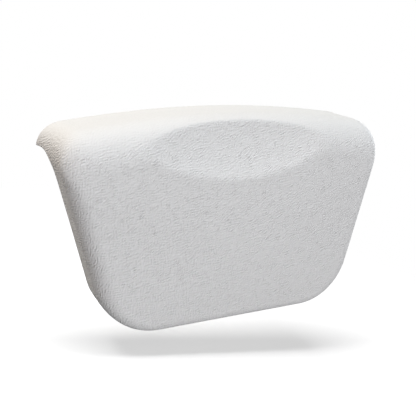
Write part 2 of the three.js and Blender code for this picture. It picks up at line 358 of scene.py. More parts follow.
@dataclass(frozen=True)
class PillowForm:
    """The cushion's sizes, and the solid that they give, drawn in from the skin by an inset."""

    top_width: float = 0.2975
    bottom_width: float = 0.219
    hang_below_rim: float = 0.1461
    corner_above_rim: float = 0.0149
    top_arch: float = 0.0106
    pad_back: float = -0.0145
    pad_thickness: float = 0.037
    lip_reach: float = 0.03225
    lip_flare: float = 0.0083
    flare_start: float = 0.025
    flare_foot: float = 0.0411
    flare_power: int = 3
    seat_run: float = 0.02625
    seat_drop: float = 0.0193
    nose_radius: float = 0.031
    side_round_depth: float = 0.016
    side_round_width: float = 0.014
    bottom_round: float = 0.009
    top_corner_radius: float = 0.020
    lip_corner_radius: float = 0.0242
    bottom_corner_radius: float = 0.052
    face_crown: float = 0.0025
    dish_length: float = 0.172
    dish_reach: float = 0.0155
    dish_drop: float = 0.047
    dish_radius: float = 0.180
    dish_blend: float = 0.0014
    inset: float = 0.0
    detail: FormDetail = FINE_DETAIL

    @property
    def pad_front(self) -> float:
        """Y of the front face's edge."""
        return self.pad_back - self.pad_thickness

    @property
    def lip_end(self) -> float:
        """Y of the lip's far edge."""
        return self.pad_back + self.lip_reach

    @property
    def length(self) -> float:
        """The whole cushion's depth, from the front face's edge to the lip's far edge."""
        return self.pad_thickness + self.lip_reach

    @property
    def bottom(self) -> float:
        """Z of the cushion's lower edge."""
        return -self.hang_below_rim

    def edge_loss(self, behind: float, depth: float, width: float) -> float:
        """How far the outline stays inside the full width at a rounded edge.

        Args:
            behind: Distance behind the front face.
            depth: How deep the skin's round is.
            width: How wide the skin's round is.

        Returns:
            What is missing from the skin's full width, with the inset.
        """
        past = (behind - self.inset) / (depth - self.inset)
        if past >= 1:
            return self.inset
        return self.inset + (width - self.inset) * (1 - math.sqrt(1 - (1 - past) ** 2))

    @staticmethod
    def corner_arc(
        corner: Vector, arrive: Vector, leave: Vector, radius: float, steps: int
    ) -> list[Vector]:
        """The round between two lines that meet at a corner.

        Args:
            corner: Where the lines meet, in X and Z.
            arrive: Direction of the first line.
            leave: Direction of the second line.
            radius: The round's radius.
            steps: Steps along the round.

        Returns:
            The points of the round, from the first line to the second.
        """
        half = math.acos(-arrive.dot(leave)) / 2
        bisector = (leave - arrive).normalized()
        centre = corner + bisector * (radius / math.sin(half))
        first = corner - arrive * (radius / math.tan(half)) - centre
        start = math.atan2(first.y, first.x)
        sweep = math.pi - 2 * half
        angles = [start - sweep * i / steps for i in range(steps + 1)]
        return [centre + Vector((math.cos(a), math.sin(a))) * radius for a in angles]

    def rounds(self, behind: float) -> tuple[list[Vector], list[Vector], float]:
        """The right shoulder and foot of the outline at a distance behind the front face.

        Args:
            behind: Distance behind the front face.

        Returns:
            The shoulder's points, the foot's points, and the rise of the top above the shoulder.
        """
        taper = (self.top_width - self.bottom_width) / 2 / (self.corner_above_rim - self.bottom)
        side_loss = self.edge_loss(behind, self.side_round_depth, self.side_round_width)
        top_loss = self.edge_loss(behind, self.nose_radius, self.nose_radius)
        bottom_loss = self.edge_loss(behind, self.bottom_round, self.bottom_round)

        def corner(z: float) -> Vector:
            """Where the straight side is at a height."""
            half_width = self.top_width / 2 + taper * (z - self.corner_above_rim)
            return Vector((half_width - side_loss * math.hypot(1, taper), z))

        top_corner = corner(self.corner_above_rim - top_loss)
        low_corner = corner(self.bottom + bottom_loss)
        along = Vector((1, -2 * self.top_arch / top_corner.x)).normalized()
        down = (low_corner - top_corner).normalized()
        growth = self.lip_corner_radius - self.top_corner_radius
        shoulder_radius = self.top_corner_radius + growth * behind / self.length - self.inset
        shoulder = self.corner_arc(top_corner, along, down, shoulder_radius, self.detail.shoulder)
        foot_radius = self.bottom_corner_radius - side_loss
        foot = self.corner_arc(low_corner, down, Vector((-1, 0)), foot_radius, self.detail.foot)
        return shoulder, foot, self.top_arch * shoulder[0].x / top_corner.x

    def half_outline(self, behind: float, stop: float | None = None) -> np.ndarray:
        """Half the outline, from the middle of the top round by the right.

        Args:
            behind: Distance behind the front face.
            stop: Height at which it ends, or None where it runs on to the middle of the bottom.

        Returns:
            X and Z of each point.
        """
        detail = self.detail
        shoulder, foot, rise = self.rounds(behind)
        start = shoulder[0]
        shares = np.linspace(0, 1, detail.top + 1)
        half = [Vector((start.x * share, start.y + rise * (1 - share**2))) for share in shares]
        split = self.side_split(behind) if stop is None else stop
        line = shoulder + foot[:1]
        following = next(i for i, point in enumerate(line) if point.y <= split)
        before, after = line[following - 1], line[following]
        crossing = before.lerp(after, (before.y - split) / (before.y - after.y))
        half += even_points([*line[:following], crossing], detail.shoulder)
        if stop is None:
            half += even_points([crossing, foot[0]], detail.side)
            half += foot[1:]
            half += even_points([foot[-1], Vector((0.0, foot[-1].y))], detail.bottom)
        points = np.array(half)
        share = max(behind - self.flare_start, 0.0) / (self.length - self.flare_start)
        height = self.corner_above_rim + self.flare_foot
        lift = np.maximum(points[:, 1] + self.flare_foot, 0.0) / height
        across = (points[:, 0] / points[:, 0].max()) ** self.flare_power
        points[:, 0] += self.lip_flare * share**2 * lift * across
        return points

    def side_split(self, behind: float) -> float:
        """Where the straight side is split, so that the bath's rounded edge starts behind the split.

        Args:
            behind: Distance behind the front face.

        Returns:
            The height of the split.
        """
        shoulder, foot, _ = self.rounds(self.pad_thickness - self.inset)
        share = (shoulder[-1].y + self.seat_drop) / (shoulder[-1].y - foot[0].y)
        shoulder, foot, _ = self.rounds(behind)
        return shoulder[-1].y + share * (foot[0].y - shoulder[-1].y)

    def ring(self, behind: float, stop: float | None = None) -> np.ndarray:
        """The whole outline, from the middle of the bottom or the left end over the top to the right.

        Args:
            behind: Distance behind the front face.
            stop: Height at which it ends, or None where it closes on itself.

        Returns:
            X, Y and Z of each point, with the head dish pressed in.
        """
        half = self.half_outline(behind, stop)
        outline = np.concatenate([half[:0:-1] * (-1, 1), half])
        points = np.insert(outline, 1, self.pad_front + behind, axis=1)
        return self.press_dish(points)

    def dish(self) -> tuple[np.ndarray, np.ndarray, float, float]:
        """The head dish, an ellipsoid whose round section passes through the nose and the face.

        Returns:
            Y and Z of the nose's centre and of the dish's centre, its half length and its radius.
        """
        shoulder, _, arch = replace(self, inset=0.0).rounds(self.nose_radius)
        top = shoulder[0].y + arch
        nose = Vector((self.pad_front + self.nose_radius, top - self.nose_radius))
        rise = math.sqrt(self.nose_radius**2 - (self.nose_radius - self.dish_reach) ** 2)
        upper = Vector((self.pad_front + self.dish_reach, nose.y + rise))
        lower = Vector((self.pad_front, top - self.dish_drop))
        chord = upper - lower
        outwards = Vector((-chord.y, chord.x)).normalized()
        away = math.sqrt(self.dish_radius**2 - chord.length_squared / 4)
        centre = (upper + lower) / 2 + outwards * away
        depth = self.nose_radius + self.dish_radius - (centre - nose).length
        half_length = self.dish_length / 2 / math.sqrt(1 - (1 - depth / self.dish_radius) ** 2)
        grown = (half_length + self.inset, self.dish_radius + self.inset)
        return np.array(nose), np.array(centre), *grown

    def press_dish(self, points: np.ndarray) -> np.ndarray:
        """Draw points in to the head dish, on rays from the nose's centre line, with a soft ridge.

        Args:
            points: X, Y and Z of each point.

        Returns:
            The points, moved where the dish lies inside them.
        """
        nose, centre, half_length, radius = self.dish()
        ray = points[:, 1:] - nose
        reach = np.linalg.norm(ray, axis=1)
        towards = ray / reach[:, None]
        section = radius**2 * (1 - (points[:, 0] / half_length) ** 2)
        along = towards @ (centre - nose)
        spare = along**2 - np.sum((centre - nose) ** 2) + section
        hits = (section > 0) & (spare > 0) & (along > 0)
        meets = np.where(hits, along - np.sqrt(np.maximum(spare, 0.0)), np.inf)
        blend = np.clip(1 - np.abs(reach - meets) / self.dish_blend, 0.0, 1.0)
        shorter = np.minimum(reach, meets) - self.dish_blend / 4 * blend**2
        return np.column_stack([points[:, 0], nose + towards * shorter[:, None]])

    def seat(self) -> list[tuple[float, float]]:
        """The line that the bath's edge and rim leave: up round the edge and out under the lip.

        Returns:
            Y and Z of each point, from the back of the pad to the end of the lip.
        """
        centre = self.pad_back + self.seat_run
        line = []
        for turn in np.linspace(0, math.pi / 2, self.detail.seat + 1).tolist():
            y = centre - (self.seat_run + self.inset) * math.cos(turn)
            line.append((y, (self.seat_drop + self.inset) * math.sin(turn) - self.seat_drop))
        under = np.linspace(centre, self.lip_end - self.inset, self.detail.lip + 1)
        return line + [(y, self.inset) for y in under[1:].tolist()]

    def solid(self, name: str) -> Piece:
        """The cushion drawn in by its inset: pad, lip, seat and back, with the head dish.

        Args:
            name: The object's name.

        Returns:
            A closed mesh object.
        """
        inset, detail = self.inset, self.detail
        turns = np.linspace(0, math.pi / 2, detail.nose + 1)
        nose = inset + (self.nose_radius - inset) * (1 - np.cos(turns))
        pad = np.linspace(self.nose_radius, self.pad_thickness - inset, detail.pad + 1)[1:]
        rings = [self.ring(behind) for behind in [*nose.tolist(), *pad.tolist()]]
        bare = np.insert(self.half_outline(inset), 1, self.pad_front + inset, axis=1)
        edge = np.concatenate([bare[:0:-1] * (-1, 1, 1), bare])
        middle = (bare[0, 2] + self.bottom) / 2
        face = []
        for share in np.linspace(0, 1, detail.face, endpoint=False):
            row = edge * (share, 1, share) + (0.0, 0.0, middle * (1 - share))
            row[:, 1] -= self.face_crown * (1 - share**2)
            face.append(self.press_dish(row))
        lip = [self.ring(y - self.pad_front, z) for y, z in self.seat()]
        under = [np.linspace(row[0], row[-1], detail.top + 1) for row in lip]
        low = detail.side + detail.foot + detail.bottom
        sheets = SewnSheets()
        sheets.grid(face + rings)
        sheets.grid(lip)
        sheets.grid(under)
        sheets.flat(np.concatenate([lip[-1], under[-1][-2:0:-1]]))
        last = rings[-1]
        sheets.flat(np.concatenate([last[-low - 1 :], last[1 : low + 1], under[0][1:-1]]))
        return sheets.sew(name)


@dataclass(frozen=True)
class Fittings:
    """Sizes and places that the sockets, cups, screws and plate share."""

    cup_spacing: float = 0.116
    cup_z: float = -0.060
    slot_travel: float = 0.011
    floor_outer: float = -0.0118
    floor_inner: float = -0.0142
    barrel_end: float = -0.0242
    plate_back: float = -0.0245
    plate_front: float = -0.0275
    flange_radius: float = 0.028
    barrel_radius: float = 0.018
    barrel_wall: float = 0.002
    screw_circle: float = 0.0232
    screw_count: int = 3
    screw_radius: float = 0.0014
    screw_head_radius: float = 0.003
    screw_head_height: float = 0.0016
    screw_length: float = 0.010
    screw_point: float = 0.002
    screw_sink: float = 0.0002
    post_radius: float = 0.0032
    plate_margin: float = 0.006
    plate_corner_radius: float = 0.010
    foam_hole_radius: float = 0.006
    foam_hole_pitch: float = 0.020
    foam_hole_rows: int = 3
    gap: float = 0.0003
    round_sides: int = 96
    small_sides: int = 32

    @property
    def socket_z(self) -> float:
        """Height of the sockets' axes."""
        return self.cup_z - self.slot_travel / 2

    def cup_x(self, side: Side) -> float:
        """X of one side's cup and socket."""
        return side.sign * self.cup_spacing / 2

    def screw_places(self, side: Side) -> list[tuple[float, float]]:
        """The places of the screws round one socket.

        Args:
            side: Which side the socket is on.

        Returns:
            X and Z of each screw.
        """
        angles = [math.pi / 2 + FULL_TURN * i / self.screw_count for i in range(self.screw_count)]
        x, z, reach = self.cup_x(side), self.socket_z, self.screw_circle
        return [(x + reach * math.cos(angle), z + reach * math.sin(angle)) for angle in angles]

    def cut_holes(self, piece: Piece, screw_room: float, low: float, high: float) -> None:
        """Cut holes along Y for the sockets' barrels and for the screws.

        Args:
            piece: The piece that is cut.
            screw_room: Radius of what passes through at the screws.
            low: Where the holes start along Y.
            high: Where they end along Y.
        """
        wide, narrow = self.barrel_radius + self.gap, screw_room + self.gap
        for side in SIDES:
            x, z = self.cup_x(side), self.socket_z
            cut(piece, round_bar("hole", wide, low, high, x, z, self.round_sides))
            for x, z in self.screw_places(side):
                cut(piece, round_bar("hole", narrow, low, high, x, z, self.small_sides))


# Finishes


class NodeSheet:
    """A node tree that is filled one node at a time."""

    def __init__(self, tree: bpy.types.NodeTree) -> None:
        """Take a node tree to fill."""
        self.tree = tree

    def feed(self, node: bpy.types.Node, inputs: Inputs) -> None:
        """Set or link a node's inputs.

        Args:
            node: The node.
            inputs: Values or sockets for its inputs, by name or number.
        """
        for name, value in inputs.items():
            if isinstance(value, Socket):
                self.tree.links.new(value, node.inputs[name])
            else:
                node.inputs[name].default_value = value

    def add(self, kind: str, inputs: Inputs | None = None, **settings: object) -> bpy.types.Node:
        """Add a node.

        Args:
            kind: The node's type.
            inputs: Values or sockets for its inputs, by name or number.
            settings: Values for the node's own properties.

        Returns:
            The new node.
        """
        node = self.tree.nodes.new(kind)
        for name, value in settings.items():
            setattr(node, name, value)
        self.feed(node, inputs or {})
        return node

    def math(self, operation: str, first: object, second: object = 0.0, clamp: bool = False) -> Socket:
        """Work on one or two values and give the result's socket."""
        inputs = {0: first, 1: second}
        return self.add("ShaderNodeMath", inputs, operation=operation, use_clamp=clamp).outputs[0]

    def vector(self, operation: str, first: object, second: object = (0.0, 0.0, 0.0)) -> Socket:
        """Work on one or two vectors and give the result's socket."""
        inputs = {0: first, 1: second}
        return self.add("ShaderNodeVectorMath", inputs, operation=operation).outputs[0]

    def remap(self, value: object, given: Sequence, wanted: Sequence, kind: str = "LINEAR") -> Socket:
        """Stretch a value from a given range to a wanted one and give the result's socket."""
        inputs = dict(enumerate((value, *given, *wanted)))
        return self.add("ShaderNodeMapRange", inputs, interpolation_type=kind).outputs["Result"]

    def blend(self, share: object, first: object, second: object) -> Socket:
        """Mix two values and give the result's socket."""
        return self.add("ShaderNodeMix", {"Factor": share, 2: first, 3: second}).outputs[0]


def new_group(name: str, inputs: dict[str, str], output: str) -> NodeSheet:
    """Start a shared node group.

    Args:
        name: The group's name.
        inputs: Its inputs and the words for their types, Float or Vector.
        output: Its output, a value.

    Returns:
        The group's empty node tree.
    """
    tree = bpy.data.node_groups.new(name, "ShaderNodeTree")
    for label, kind in inputs.items():
        tree.interface.new_socket(label, in_out="INPUT", socket_type=f"NodeSocket{kind}")
    tree.interface.new_socket(output, in_out="OUTPUT", socket_type="NodeSocketFloat")
    return NodeSheet(tree)


class SurfaceEffects:
    """Node groups that more than one finish uses."""

    def __init__(self) -> None:
        """Build the groups."""
        self.mottle = self._mottle()
        self.pebbles = self._pebbles()

    @staticmethod
    def _mottle() -> bpy.types.NodeTree:
        """Slow unevenness of tone.

        Returns:
            A group whose Tone runs from 0 to 1 about a half.
        """
        sheet = new_group("mottle", {"Scale": "Float"}, "Tone")
        given = sheet.add("NodeGroupInput").outputs
        place = sheet.add("ShaderNodeTexCoord").outputs["Object"]
        inputs = {"Vector": place, "Scale": given["Scale"], "Detail": 3.0, "Roughness": 0.55}
        broad = sheet.add("ShaderNodeTexNoise", inputs)
        sheet.add("NodeGroupOutput", {"Tone": broad.outputs["Fac"]})
        return sheet.tree

    @staticmethod
    def _pebbles() -> bpy.types.NodeTree:
        """Grain between pebbles and wrinkles, flattened by Top Fade where the surface faces up.

        Returns:
            A group whose Height stands up in cells or runs in wavy folds.
        """
        dome_share, groove_share, fine_share = 0.6, -0.35, 0.35
        groove_width, fine_cells, fold_cells = 0.16, 2.7, 2.0
        fold_lean = (0.0, 0.1, 1.0)
        fade_from, fade_to = 0.2, 0.9
        half = 0.5
        inputs = {"Cells": "Float", "Stretch": "Vector", "Warp": "Float"}
        inputs |= {"Wrinkles": "Float", "Top Fade": "Float"}
        sheet = new_group("pebbles", inputs, "Height")
        given = sheet.add("NodeGroupInput").outputs
        coordinates = sheet.add("ShaderNodeTexCoord").outputs
        drawn = sheet.vector("MULTIPLY", coordinates["Object"], given["Stretch"])
        inputs = {"Vector": drawn, "Scale": given["Cells"], "Detail": 2.0}
        noise = sheet.add("ShaderNodeTexNoise", inputs)
        middle = sheet.vector("SUBTRACT", noise.outputs["Color"], (half, half, half))
        reach = sheet.math("DIVIDE", given["Warp"], given["Cells"])
        shift = sheet.add("ShaderNodeVectorMath", {0: middle, "Scale": reach}, operation="SCALE")
        warped = sheet.vector("ADD", drawn, shift.outputs[0])
        inputs = {"Vector": warped, "Scale": given["Cells"], "Randomness": 1.0}
        cells = sheet.add("ShaderNodeTexVoronoi", inputs, feature="SMOOTH_F1")
        lines = sheet.add("ShaderNodeTexVoronoi", inputs, feature="DISTANCE_TO_EDGE")
        near = (0.0, groove_width)
        crease = sheet.remap(lines.outputs["Distance"], near, (1.0, 0.0), "SMOOTHSTEP")
        scale = sheet.math("MULTIPLY", given["Cells"], fine_cells)
        fine = sheet.add("ShaderNodeTexNoise", {"Vector": warped, "Scale": scale, "Detail": 3.0})
        dome = sheet.math("SUBTRACT", 1.0, cells.outputs["Distance"])
        groove = sheet.math("MULTIPLY", crease, groove_share)
        relief = sheet.math("ADD", sheet.math("MULTIPLY", dome, dome_share), groove)
        crumbs = sheet.math("MULTIPLY", fine.outputs["Fac"], fine_share)
        pebbled = sheet.math("ADD", relief, crumbs)
        inputs = {"Vector": drawn, "Scale": sheet.math("DIVIDE", given["Cells"], fold_cells)}
        inputs |= {"Frequency": 2.0, "Anisotropy": 0.5, 5: fold_lean}
        folds = sheet.add("ShaderNodeTexGabor", inputs, gabor_type="3D")
        height = sheet.blend(given["Wrinkles"], pebbled, folds.outputs["Value"])
        facing = sheet.add("ShaderNodeSeparateXYZ", {"Vector": coordinates["Normal"]}).outputs["Z"]
        fade = sheet.remap(facing, (fade_from, fade_to), (0.0, given["Top Fade"]), "SMOOTHSTEP")
        sheet.add("NodeGroupOutput", {"Height": sheet.blend(fade, height, half)})
        return sheet.tree


@dataclass(frozen=True)
class Finish:
    """A material's name, and the colours, gloss and grain that its nodes vary about, with painted
    shade in the grain's low places.
    """

    name: str
    colour: Colour
    shade: Colour
    roughness: float
    roughness_spread: float
    mottle_scale: float
    grain_cells: float
    grain_depth: float
    grain_warp: float = 0.5
    grain_stretch: Place = (1.0, 1.0, 1.0)
    mottle_tone: float = 1.0
    # Share of painted shade put into the grain's creases, towards the shade colour; a negative value
    # lightens them instead.
    crease_shade: float = 0.0
    low_range: tuple[float, float] = (0.8, 0.2)
    wrinkles: float = 0.0
    top_fade: float = 0.0
    constants: Inputs = field(default_factory=dict)

    def material(self, effects: SurfaceEffects) -> bpy.types.Material:
        """Make the material with mottled colour, painted shade in the grain's creases, uneven gloss
        and grain.

        Args:
            effects: The shared node groups.

        Returns:
            The material.
        """
        material = bpy.data.materials.new(self.name)
        material.use_nodes = True
        sheet = NodeSheet(material.node_tree)
        inputs = {"Scale": self.mottle_scale}
        mottle = sheet.add("ShaderNodeGroup", inputs, node_tree=effects.mottle).outputs["Tone"]
        inputs = {"Cells": self.grain_cells, "Stretch": self.grain_stretch, "Warp": self.grain_warp}
        inputs |= {"Wrinkles": self.wrinkles, "Top Fade": self.top_fade}
        grain = sheet.add("ShaderNodeGroup", inputs, node_tree=effects.pebbles).outputs["Height"]
        # Painted shade: the grain's low places are darkened towards the shade colour, as if shadowed.
        low = sheet.remap(grain, self.low_range, (0.0, 1.0))
        painted_crease_shade = sheet.math("MULTIPLY", low, self.crease_shade)
        share = sheet.math("ADD", sheet.math("MULTIPLY", mottle, self.mottle_tone), painted_crease_shade, clamp=True)
        inputs = {"Factor": share, 6: (*self.colour, 1.0), 7: (*self.shade, 1.0)}
        tone = sheet.add("ShaderNodeMix", inputs, data_type="RGBA").outputs[2]
        ends = (self.roughness + self.roughness_spread, self.roughness - self.roughness_spread)
        gloss = sheet.remap(grain, (0.0, 1.0), ends)
        inputs = {"Strength": 1.0, "Distance": self.grain_depth, "Height": grain}
        bump = sheet.add("ShaderNodeBump", inputs).outputs["Normal"]
        varying = {"Base Color": tone, "Roughness": gloss, "Normal": bump}
        sheet.feed(material.node_tree.nodes["Principled BSDF"], varying | self.constants)
        return material


GRAINED_SKIN = Finish(
    name="grained_skin",
    colour=(0.92, 0.92, 0.92),
    shade=(0.66, 0.66, 0.66),
    roughness=0.6,
    roughness_spread=0.06,
    mottle_scale=14.0,
    grain_cells=480.0,
    grain_depth=0.0012,
    grain_warp=0.9,
    mottle_tone=0.15,
    # Painted shade darkens the skin's creases towards the shade colour.
    crease_shade=0.6,
    wrinkles=0.9,
    top_fade=0.75,
    constants={"Specular IOR Level": 0.3},
)
OPEN_FOAM = Finish(
    name="open_cell_foam",
    colour=(0.88, 0.81, 0.66),
    shade=(0.74, 0.65, 0.48),
    roughness=0.92,
    roughness_spread=0.04,
    mottle_scale=30.0,
    grain_cells=1400.0,
    grain_depth=0.0005,
    crease_shade=-0.3,
)
PLATE_PLASTIC = Finish(
    name="plate_plastic",
    colour=(0.37, 0.39, 0.40),
    shade=(0.33, 0.35, 0.36),
    roughness=0.55,
    roughness_spread=0.08,
    mottle_scale=60.0,
    grain_cells=2600.0,
    grain_depth=0.00003,
)
SOCKET_PLASTIC = Finish(
    name="socket_plastic",
    colour=(0.78, 0.78, 0.76),
    shade=(0.73, 0.73, 0.71),
    roughness=0.42,
    roughness_spread=0.07,
    mottle_scale=70.0,
    grain_cells=2200.0,
    grain_depth=0.00002,
)
MILKY_VINYL = Finish(
    name="milky_vinyl",
    colour=(0.74, 0.79, 0.80),
    shade=(0.67, 0.73, 0.75),
    roughness=0.24,
    roughness_spread=0.05,
    mottle_scale=90.0,
    grain_cells=700.0,
    grain_depth=0.00002,
    grain_warp=0.8,
    constants={
        "Subsurface Weight": 0.6,
        "Subsurface Radius": (1.0, 1.0, 1.0),
        "Subsurface Scale": 0.004,
        "Coat Weight": 0.4,
    },
)
SCREW_STEEL = Finish(
    name="screw_steel",
    colour=(0.62, 0.63, 0.64),
    shade=(0.52, 0.53, 0.55),
    roughness=0.32,
    roughness_spread=0.08,
    mottle_scale=500.0,
    grain_cells=3000.0,
    grain_depth=0.00001,
    grain_warp=0.3,
    grain_stretch=(1.0, 0.2, 1.0),
    constants={"Metallic": 1.0},
)


def dress(piece: Piece, material: bpy.types.Material, slot: Slot, body: Body, *nodes: str) -> None:
    """Give a new piece its material and body, and hide the nodes that it stands for.

    Args:
        piece: The new piece.
        material: Its material.
        slot: The record's slot that its finish belongs to; not used.
        body: The body that it rides on.
        nodes: The CAD nodes that it replaces.
    """
    piece.data.materials.clear()
    piece.data.materials.append(material)
    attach(piece, body.value)
    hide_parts(*nodes)
    log.info("%s: %d faces", piece.name, len(piece.data.polygons))


# Sub-assemblies


@dataclass
class CushionCover:
    """The grained skin that wraps the foam, open at the back for the sockets."""

    form: PillowForm
    fittings: Fittings
    thickness: float = 0.0015
    edge_round: float = 0.0007
    edge_land: float = 0.0008
    flat_area: float = 0.0005
    edge_steps: int = 3
    sharp_degrees: float = 35.0
    fill: float = 0.95

    def build(self) -> Piece:
        """Model the cover.

        Returns:
            The cover as one closed shell.
        """
        sizes, gaps = self.fittings, 2 * self.fittings.gap
        back = self.form.pad_back
        piece = self.form.solid("cushion_cover")
        self._round_edges(piece)
        cut(piece, replace(self.form, inset=self.thickness, detail=PLAIN_DETAIL).solid("hollow"))
        sizes.cut_holes(piece, sizes.screw_radius, back - self.thickness - gaps, back + gaps)
        smooth_shading(piece)
        return piece

    def _round_edges(self, piece: Piece) -> None:
        """Round the sharp edges of the back and the lip, with a narrow land beside them.

        Args:
            piece: The cover before it is hollowed.
        """
        with editing(piece):
            bpy.ops.mesh.select_mode(type="EDGE")
            bpy.ops.mesh.edges_select_sharp(sharpness=math.radians(self.sharp_degrees))
            bpy.ops.mesh.bevel(offset=self.edge_round, segments=self.edge_steps)
            select(piece, "FACE", lambda face: face.calc_area() > self.flat_area)
            bpy.ops.mesh.inset(thickness=self.edge_land)


@dataclass
class FoamFilling:
    """The foam inside the cover, moulded round the plate, its posts and the socket barrels."""

    form: PillowForm
    fittings: Fittings
    inset: float = 0.0018
    corner_steps: int = 8
    fill: float = 1.0

    def build(self) -> Piece:
        """Model the foam.

        Returns:
            The foam as one closed solid.
        """
        sizes = self.fittings
        piece = replace(self.form, inset=self.inset, detail=PLAIN_DETAIL).solid("foam_filling")
        cut(piece, self._plate_pocket())
        sizes.cut_holes(piece, sizes.post_radius, sizes.plate_back, self.form.pad_back)
        smooth_shading(piece)
        return piece

    def _plate_pocket(self) -> Piece:
        """The room for the plate, with the foam's pegs through its holes left standing.

        Returns:
            The room as a solid.
        """
        sizes = self.fittings
        height = 2 * (sizes.flange_radius + sizes.plate_margin + sizes.gap)
        low, high = sizes.plate_front - sizes.gap, sizes.plate_back + sizes.gap
        size = (sizes.cup_spacing + height, high - low, height)
        pocket = block("plate_pocket", size, (0.0, (low + high) / 2, sizes.socket_z))
        with editing(pocket):
            select(pocket, "EDGE", lambda edge: edge.calc_length() < 2 * (high - low))
            radius = sizes.plate_corner_radius + sizes.gap
            bpy.ops.mesh.bevel(offset=radius, segments=self.corner_steps)
        middle = (sizes.foam_hole_rows - 1) / 2
        for column in range(sizes.foam_hole_rows):
            for row in range(sizes.foam_hole_rows):
                x = sizes.foam_hole_pitch * (column - middle)
                z = sizes.socket_z + sizes.foam_hole_pitch * (row - middle)
                radius = sizes.foam_hole_radius - sizes.gap
                peg = round_bar("peg", radius, low - MM, high + MM, x, z, sizes.small_sides)
                cut(pocket, peg)
        return pocket


@dataclass
class CupSocket:
    """A flanged well with a keyhole in its floor, held by three screws."""

    fittings: Fittings
    slot_radius: float = 0.0035
    entry_radius: float = 0.0068
    flange_chamfer: float = 0.0008
    chamfer_steps: int = 4
    chamfer_profile: float = 0.6
    edge_round: float = 0.00025
    round_steps: int = 2
    sharp_degrees: float = 50.0
    short_edge: float = 0.00005

    def build(self, side: Side) -> Piece:
        """Model one socket.

        Args:
            side: Which side it belongs to.

        Returns:
            The socket as one closed solid.
        """
        sizes = self.fittings
        x, z = sizes.cup_x(side), sizes.socket_z
        low, high = sizes.floor_inner, sizes.floor_outer
        name = f"cup_well_{side.label}"
        piece = round_bar(name, sizes.flange_radius, low, high, x, z, sizes.round_sides)
        depth = low - sizes.barrel_end
        rim = high - self.edge_round
        with editing(piece):
            select_end(piece, -1)
            bpy.ops.mesh.inset(thickness=sizes.flange_radius - sizes.barrel_radius)
            push(-depth)
            bpy.ops.mesh.inset(thickness=sizes.barrel_wall)
            push(depth)
            select(piece, "EDGE", lambda edge: all(end.co.y > rim for end in edge.verts))
            bpy.ops.mesh.bevel(
                offset=self.flange_chamfer, segments=self.chamfer_steps, profile=self.chamfer_profile
            )
        self._cut_keyhole(piece, x)
        for place in sizes.screw_places(side):
            self._cut_screw_seat(piece, *place)
        close_up(piece, self.short_edge)
        modify(
            piece,
            "BEVEL",
            width=self.edge_round,
            segments=self.round_steps,
            limit_method="ANGLE",
            angle_limit=math.radians(self.sharp_degrees),
            use_clamp_overlap=False,
        )
        close_up(piece, SAME_POINT)
        smooth_shading(piece)
        return piece

    def _cut_keyhole(self, piece: Piece, x: float) -> None:
        """Cut the cup's entry, its slot and the slot's round end.

        Args:
            piece: The socket.
            x: Where its axis is in X.
        """
        sizes = self.fittings
        low, high = sizes.floor_inner - MM, sizes.floor_outer + MM
        top, foot = sizes.cup_z, sizes.cup_z - sizes.slot_travel
        cut(piece, round_bar("entry", self.entry_radius, low, high, x, foot, sizes.round_sides))
        cut(piece, round_bar("slot_end", self.slot_radius, low, high, x, top, sizes.round_sides))
        size = (2 * self.slot_radius, high - low, sizes.slot_travel)
        cut(piece, block("slot", size, (x, (low + high) / 2, (top + foot) / 2)))

    def _cut_screw_seat(self, piece: Piece, x: float, z: float) -> None:
        """Cut one screw's hole and the cone that its head sinks into.

        Args:
            piece: The socket.
            x: Where the screw's axis is in X.
            z: Where it is in Z.
        """
        sizes = self.fittings
        low, high = sizes.floor_inner - MM, sizes.floor_outer + MM
        narrow = sizes.screw_radius + sizes.gap
        wide = sizes.screw_head_radius + sizes.gap + sizes.screw_sink
        cut(piece, round_bar("screw_hole", narrow, low, high, x, z, sizes.small_sides))
        depth = sizes.screw_head_height + sizes.screw_sink
        pick(None)
        bpy.ops.mesh.primitive_cone_add(
            vertices=sizes.small_sides,
            radius1=wide,
            radius2=narrow,
            depth=depth,
            location=(x, sizes.floor_outer - depth / 2, z),
            rotation=ALONG_Y,
        )
        cone = named("screw_seat")
        with editing(cone):
            select_end(cone, 1)
            push(MM)
        cut(piece, cone)


